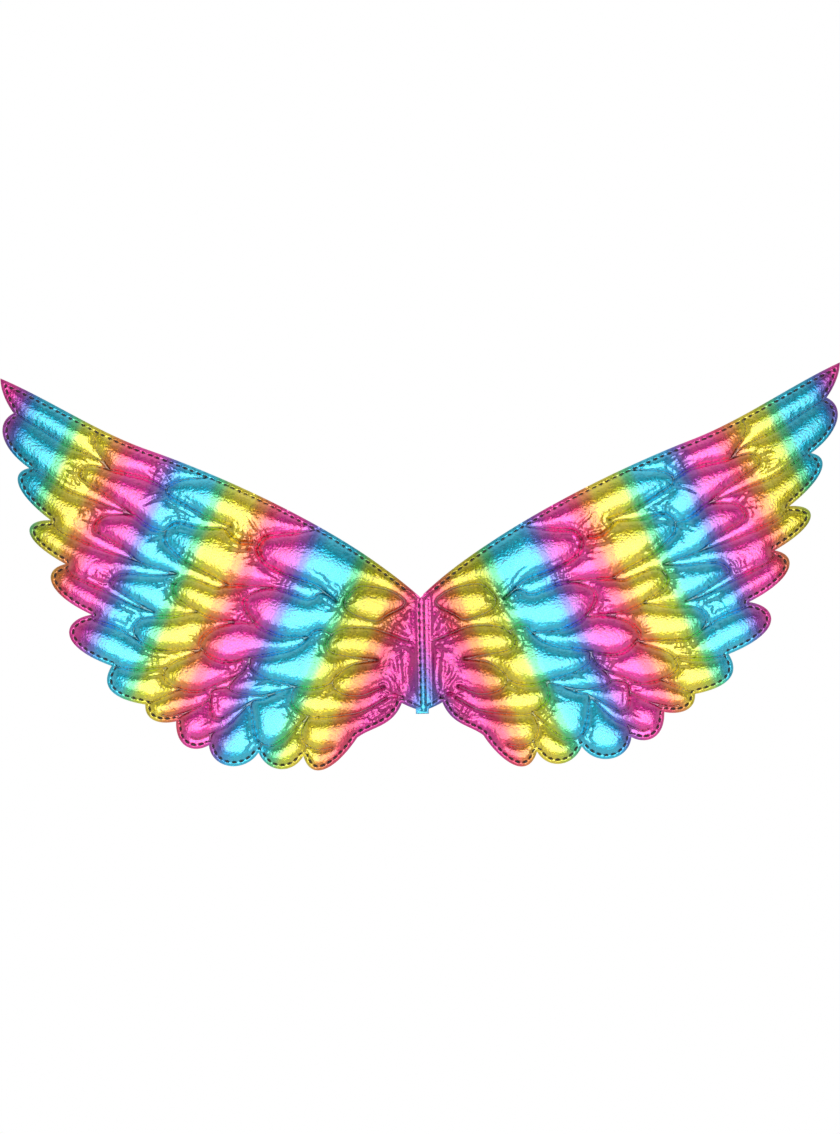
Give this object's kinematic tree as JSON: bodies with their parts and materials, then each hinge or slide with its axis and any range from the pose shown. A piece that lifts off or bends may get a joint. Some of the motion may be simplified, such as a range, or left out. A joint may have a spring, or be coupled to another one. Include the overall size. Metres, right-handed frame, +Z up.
{
  "type": "costume fairy wings",
  "caption": "Padded, quilted fairy wings for a child: two scalloped wings joined along a short sewn spine, worn on the back with elastic arm loops.",
  "frame": {"origin": "middle of the rear face of the tape that covers the centre seam, half way up the seam, where the part rests against the wearer's back", "axes": "+Z up as worn, -Y the way the decorated face looks, +Y towards the wearer's back, X along the span"},
  "size_m": [0.6, 0.1145, 0.2844],
  "materials": {
    "foil_fabric": "metallic foil laminated on knit fabric, rainbow bands, glossy with a fine crinkle",
    "foil_tape": "the same foil fabric, cut as a narrow tape",
    "padding": "white polyester wadding",
    "thread": "dark brown polyester sewing thread",
    "elastic": "white woven elastic webbing"
  },
  "bodies": {
    "spine": {"centre_seam": "foil_fabric", "seam_lap": "foil_fabric", "seam_stitching": "thread", "seam_tape": "foil_tape", "tape_stitching": "thread", "strap_ends": "elastic", "strap_tacks": "thread"},
    "left_wing": {"left_front_cover": "foil_fabric", "left_padding": "padding", "left_back_cover": "foil_fabric", "left_edge_stitching": "thread"},
    "right_wing": {"right_front_cover": "foil_fabric", "right_padding": "padding", "right_back_cover": "foil_fabric", "right_edge_stitching": "thread"},
    "left_strap": {"left_strap": "elastic"},
    "right_strap": {"right_strap": "elastic"}
  },
  "joints": [
    {"name": "left_wing_fold", "type": "hinge", "parent": "spine", "child": "left_wing", "pos_m": [-0.006, -0.0037, 0], "axis": [0, 0, 1], "range_deg": [-8, 85], "stiffness_Nm_per_rad": 0.02},
    {"name": "right_wing_fold", "type": "hinge", "parent": "spine", "child": "right_wing", "pos_m": [0.006, -0.0037, 0], "axis": [0, 0, -1], "range_deg": [-8, 85], "stiffness_Nm_per_rad": 0.02},
    {"name": "left_strap_swing", "type": "hinge", "parent": "spine", "child": "left_strap", "pos_m": [-0.01223, 0.01294, 0], "axis": [0, 0, 1], "range_deg": [-25, 20], "stiffness_Nm_per_rad": 0.002},
    {"name": "right_strap_swing", "type": "hinge", "parent": "spine", "child": "right_strap", "pos_m": [0.01223, 0.01294, 0], "axis": [0, 0, -1], "range_deg": [-25, 20], "stiffness_Nm_per_rad": 0.002}
  ]
}
